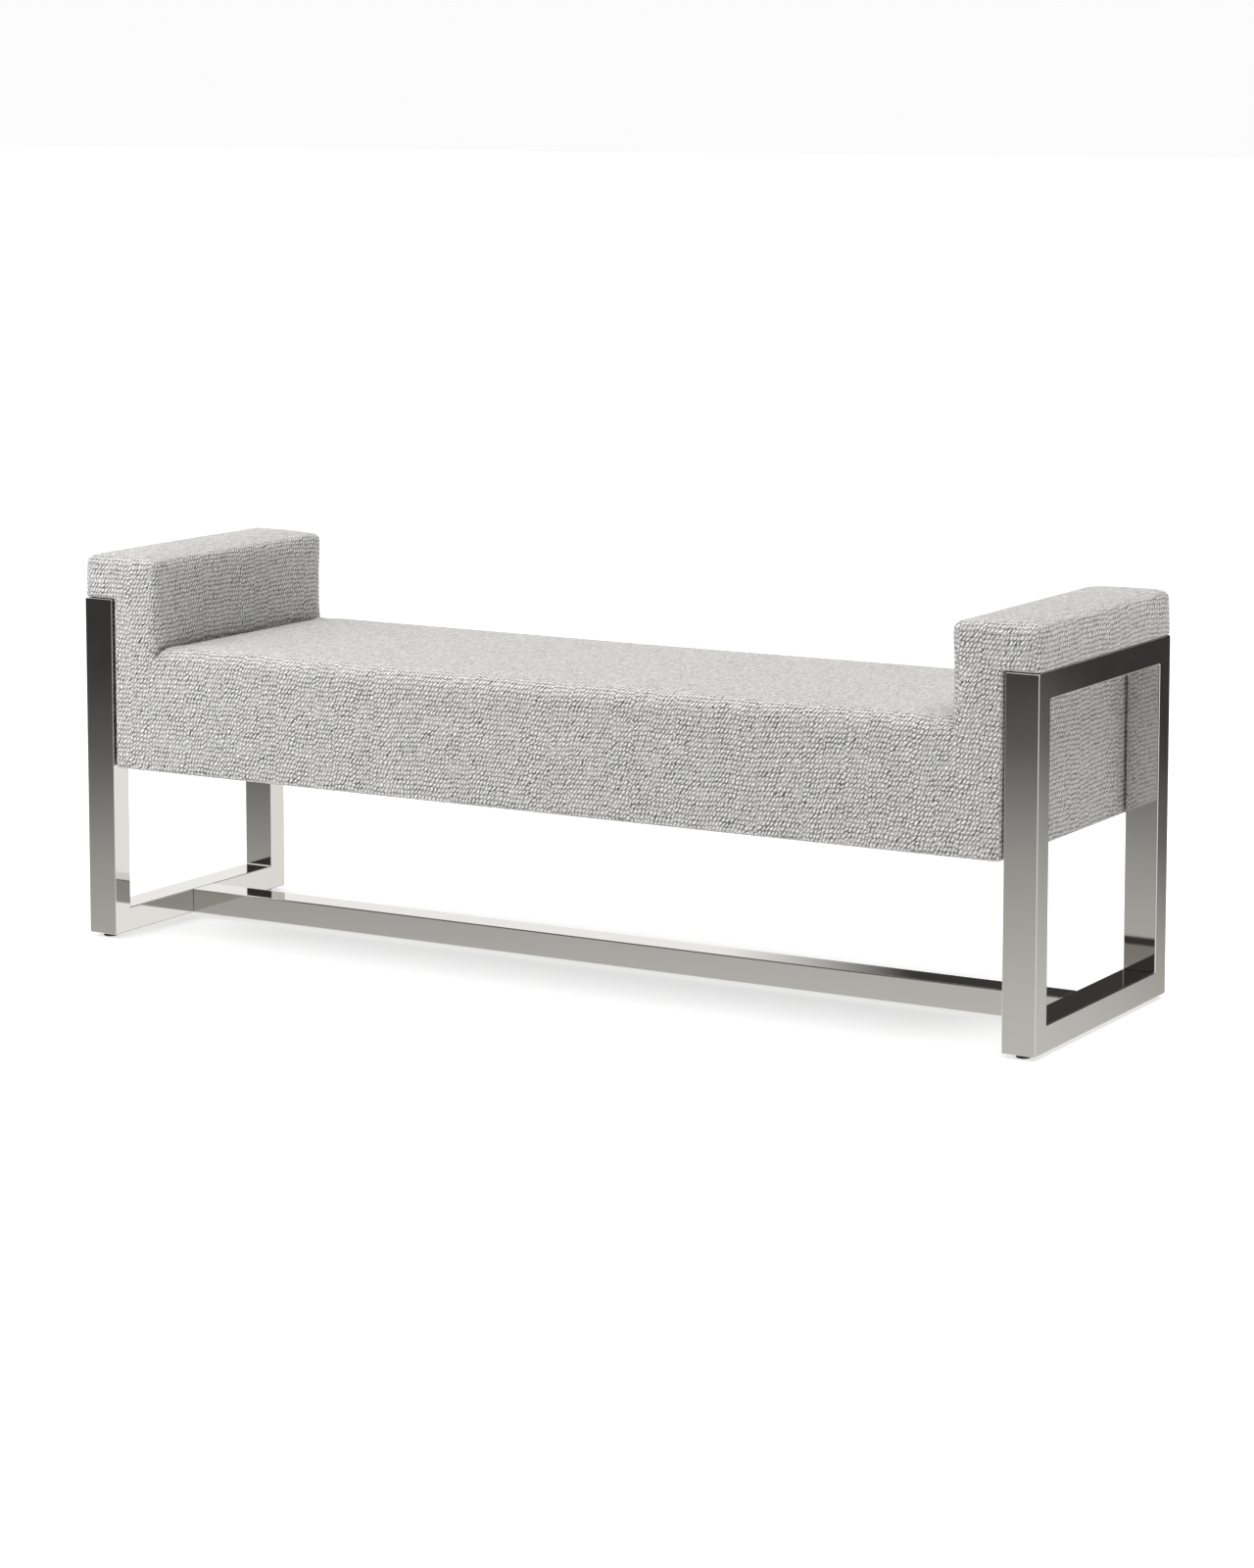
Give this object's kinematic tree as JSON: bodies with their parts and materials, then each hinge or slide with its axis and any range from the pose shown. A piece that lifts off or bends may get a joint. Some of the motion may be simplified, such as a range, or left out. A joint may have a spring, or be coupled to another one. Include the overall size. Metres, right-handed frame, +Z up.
{
  "type": "luggage bench",
  "caption": "Upholstered bench with a long padded seat and block arms, held between polished tube end frames joined by a low stretcher, standing on levelling feet.",
  "frame": {"origin": "floor level under the middle of the bench; the pads' undersides are at Z = 0", "axes": "+X along the bench to the right seen from the front, +Y from front to rear, +Z up"},
  "size_m": [1.602, 0.45, 0.592],
  "materials": {
    "polished_steel": "polished",
    "zinc_steel": "satin",
    "black_nylon": "satin",
    "beech": "matte",
    "birch_plywood": "matte",
    "foam": "matte",
    "knotted_cloth": "matte",
    "black_cambric": "matte"
  },
  "bodies": {
    "bench": {"left_front_leg": "polished_steel", "left_rear_leg": "polished_steel", "left_top_rail": "polished_steel", "left_bottom_rail": "polished_steel", "right_front_leg": "polished_steel", "right_rear_leg": "polished_steel", "right_top_rail": "polished_steel", "right_bottom_rail": "polished_steel", "stretcher": "polished_steel", "left_stretcher_tongue": "zinc_steel", "left_stretcher_screw": "zinc_steel", "right_stretcher_tongue": "zinc_steel", "right_stretcher_screw": "zinc_steel", "front_left_glide_nut": "zinc_steel", "left_front_leg_bolt": "zinc_steel", "left_front_leg_insert": "zinc_steel", "left_front_arm_screw": "zinc_steel", "left_front_corner_block": "beech", "front_right_glide_nut": "zinc_steel", "right_front_leg_bolt": "zinc_steel", "right_front_leg_insert": "zinc_steel", "right_front_arm_screw": "zinc_steel", "right_front_corner_block": "beech", "rear_left_glide_nut": "zinc_steel", "left_rear_leg_bolt": "zinc_steel", "left_rear_leg_insert": "zinc_steel", "left_rear_arm_screw": "zinc_steel", "left_rear_corner_block": "beech", "rear_right_glide_nut": "zinc_steel", "right_rear_leg_bolt": "zinc_steel", "right_rear_leg_insert": "zinc_steel", "right_rear_arm_screw": "zinc_steel", "right_rear_corner_block": "beech", "seat_front_rail": "beech", "seat_rear_rail": "beech", "left_cross_brace": "beech", "left_end_panel": "birch_plywood", "left_arm_board": "birch_plywood", "left_arm_cap_board": "birch_plywood", "left_arm_foam": "foam", "right_cross_brace": "beech", "right_end_panel": "birch_plywood", "right_arm_board": "birch_plywood", "right_arm_cap_board": "birch_plywood", "right_arm_foam": "foam", "seat_deck": "birch_plywood", "seat_foam": "foam", "upholstery_cover": "knotted_cloth", "dust_cover": "black_cambric"},
    "front_left_pad": {"front_left_glide_pad": "black_nylon"},
    "front_left_stud": {"front_left_glide_stud": "zinc_steel"},
    "front_right_pad": {"front_right_glide_pad": "black_nylon"},
    "front_right_stud": {"front_right_glide_stud": "zinc_steel"},
    "rear_left_pad": {"rear_left_glide_pad": "black_nylon"},
    "rear_left_stud": {"rear_left_glide_stud": "zinc_steel"},
    "rear_right_pad": {"rear_right_glide_pad": "black_nylon"},
    "rear_right_stud": {"rear_right_glide_stud": "zinc_steel"}
  },
  "joints": [
    {"name": "front_left_glide_height", "type": "slide", "parent": "bench", "child": "front_left_pad", "axis": [0, 0, -1], "range_m": [0, 0.0101]},
    {"name": "front_left_stud_turn", "type": "hinge", "parent": "front_left_pad", "child": "front_left_stud", "pos_m": [-0.775, -0.206, 0], "axis": [0, 0, -1], "range_deg": [0, 2880]},
    {"name": "front_right_glide_height", "type": "slide", "parent": "bench", "child": "front_right_pad", "axis": [0, 0, -1], "range_m": [0, 0.0101]},
    {"name": "front_right_stud_turn", "type": "hinge", "parent": "front_right_pad", "child": "front_right_stud", "pos_m": [0.775, -0.206, 0], "axis": [0, 0, -1], "range_deg": [0, 2880]},
    {"name": "rear_left_glide_height", "type": "slide", "parent": "bench", "child": "rear_left_pad", "axis": [0, 0, -1], "range_m": [0, 0.0101]},
    {"name": "rear_left_stud_turn", "type": "hinge", "parent": "rear_left_pad", "child": "rear_left_stud", "pos_m": [-0.775, 0.206, 0], "axis": [0, 0, -1], "range_deg": [0, 2880]},
    {"name": "rear_right_glide_height", "type": "slide", "parent": "bench", "child": "rear_right_pad", "axis": [0, 0, -1], "range_m": [0, 0.0101]},
    {"name": "rear_right_stud_turn", "type": "hinge", "parent": "rear_right_pad", "child": "rear_right_stud", "pos_m": [0.775, 0.206, 0], "axis": [0, 0, -1], "range_deg": [0, 2880]}
  ],
  "couplings": [
    {"joint": "front_left_glide_height", "follows": "front_left_stud_turn", "m_per_rad": 0.00019894},
    {"joint": "front_right_glide_height", "follows": "front_right_stud_turn", "m_per_rad": 0.00019894},
    {"joint": "rear_left_glide_height", "follows": "rear_left_stud_turn", "m_per_rad": 0.00019894},
    {"joint": "rear_right_glide_height", "follows": "rear_right_stud_turn", "m_per_rad": 0.00019894}
  ]
}
